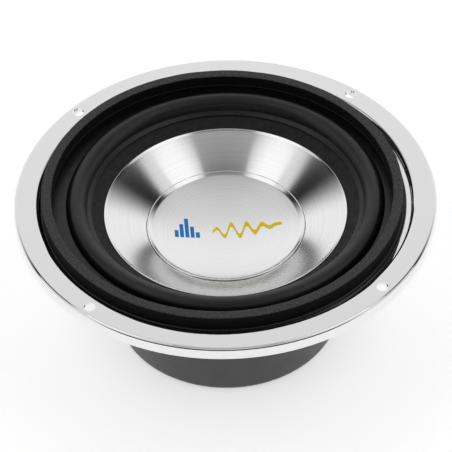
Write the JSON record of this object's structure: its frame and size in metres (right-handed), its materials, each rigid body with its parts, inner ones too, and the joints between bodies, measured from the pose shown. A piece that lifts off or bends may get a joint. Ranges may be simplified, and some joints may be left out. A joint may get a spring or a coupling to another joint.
{
  "type": "car subwoofer driver",
  "caption": "Round car subwoofer driver: plated steel frame, foam gasket, rubber surround, bright spun cone and dished cap, ferrite motor in a rubber boot; the cone travels on its suspension.",
  "frame": {"origin": "centre of the boot's rear face, on the axis", "axes": "+Z along the axis from the magnet to the cone; +Y towards the terminals"},
  "size_m": [0.215, 0.215, 0.0881],
  "materials": {
    "plated_steel": "bright nickel and chrome plate on pressed steel",
    "gasket_foam": "charcoal closed-cell foam, cut edge",
    "surround_rubber": "black moulded rubber, satin",
    "spider_cloth": "resin-stiffened cotton, pressed in corrugations",
    "zinc_steel": "zinc-plated steel, turned",
    "ferrite": "ground ferrite",
    "boot_rubber": "dark grey moulded rubber, matt",
    "rivet_steel": "plated rivets",
    "board_fibre": "brown phenolic fibre board",
    "tab_brass": "plain brass strip",
    "lead_braid": "copper tinsel braid on cotton",
    "cone_paper": "black pulp, pressed",
    "spun_aluminium": "spun bright aluminium with fine circular lines",
    "former_paper": "brown kraft former",
    "coil_wire": "enamelled copper wire set in varnish"
  },
  "bodies": {
    "frame": {"basket": "plated_steel", "front_gasket": "gasket_foam", "surround": "surround_rubber", "spider": "spider_cloth", "top_plate": "zinc_steel", "magnet": "ferrite", "yoke": "zinc_steel", "magnet_boot": "boot_rubber", "frame_rivets": "rivet_steel", "terminal_board": "board_fibre", "board_rivets": "rivet_steel", "terminal_positive": "tab_brass", "terminal_negative": "tab_brass", "tab_rivets": "tab_brass", "lead_positive": "lead_braid", "lead_negative": "lead_braid"},
    "cone_assembly": {"cone": "cone_paper", "cone_facing": "spun_aluminium", "dust_cap": "spun_aluminium", "coil_former": "former_paper", "voice_coil": "coil_wire", "lead_eyelets": "tab_brass", "coil_tails": "coil_wire"}
  },
  "joints": [
    {"name": "cone_travel", "type": "slide", "parent": "frame", "child": "cone_assembly", "axis": [0, 0, 1], "range_m": [-0.006, 0.006], "stiffness_N_per_m": 2500, "deforming": ["surround", "spider", "lead_positive", "lead_negative"]}
  ]
}
